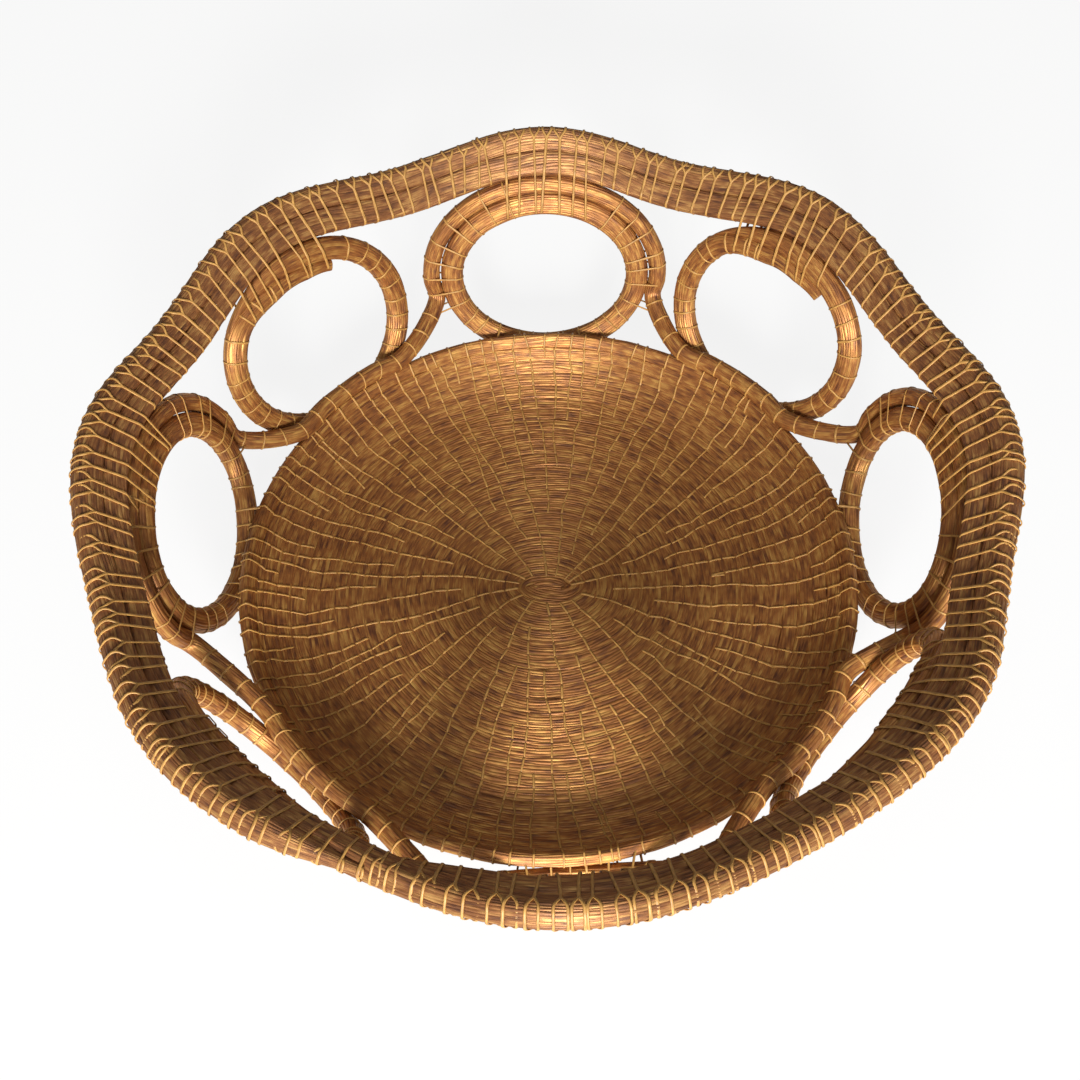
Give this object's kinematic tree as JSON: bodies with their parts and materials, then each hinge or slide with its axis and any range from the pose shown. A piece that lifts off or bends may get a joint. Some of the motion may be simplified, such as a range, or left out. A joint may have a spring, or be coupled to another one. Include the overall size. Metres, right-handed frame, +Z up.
{
  "type": "fruit bowl",
  "caption": "Round open bowl of coiled golden grass: a shallow spiral dish, a leaning gallery of sewn rings laced by a wave-shaped coil, and a lobed double rim; holds fruit",
  "frame": {"origin": "middle of the bowl's underside, on the surface it stands on", "axes": "+Z up along the axis of the dish, -Y towards the viewer of the picture, +X to that viewer's right"},
  "size_m": [0.3207, 0.321, 0.0952],
  "materials": {
    "golden_grass": "bundles of thin dried stems with a silky golden sheen along the coil",
    "palm_thread": "split palm leaf fibre, pale and slightly glossy"
  },
  "bodies": {
    "root": {"floor_coil": "golden_grass", "wall_coil": "golden_grass", "edge_coil": "golden_grass", "ring_1": "golden_grass", "ring_2": "golden_grass", "ring_3": "golden_grass", "ring_4": "golden_grass", "ring_5": "golden_grass", "ring_6": "golden_grass", "ring_7": "golden_grass", "ring_8": "golden_grass", "rim_coil": "golden_grass", "wave_coil": "golden_grass", "foot_lashing_1": "palm_thread", "rim_lashing_1": "palm_thread", "foot_lashing_2": "palm_thread", "rim_lashing_2": "palm_thread", "foot_lashing_3": "palm_thread", "rim_lashing_3": "palm_thread", "foot_lashing_4": "palm_thread", "rim_lashing_4": "palm_thread", "foot_lashing_5": "palm_thread", "rim_lashing_5": "palm_thread", "foot_lashing_6": "palm_thread", "rim_lashing_6": "palm_thread", "foot_lashing_7": "palm_thread", "rim_lashing_7": "palm_thread", "foot_lashing_8": "palm_thread", "rim_lashing_8": "palm_thread"}
  },
  "joints": []
}
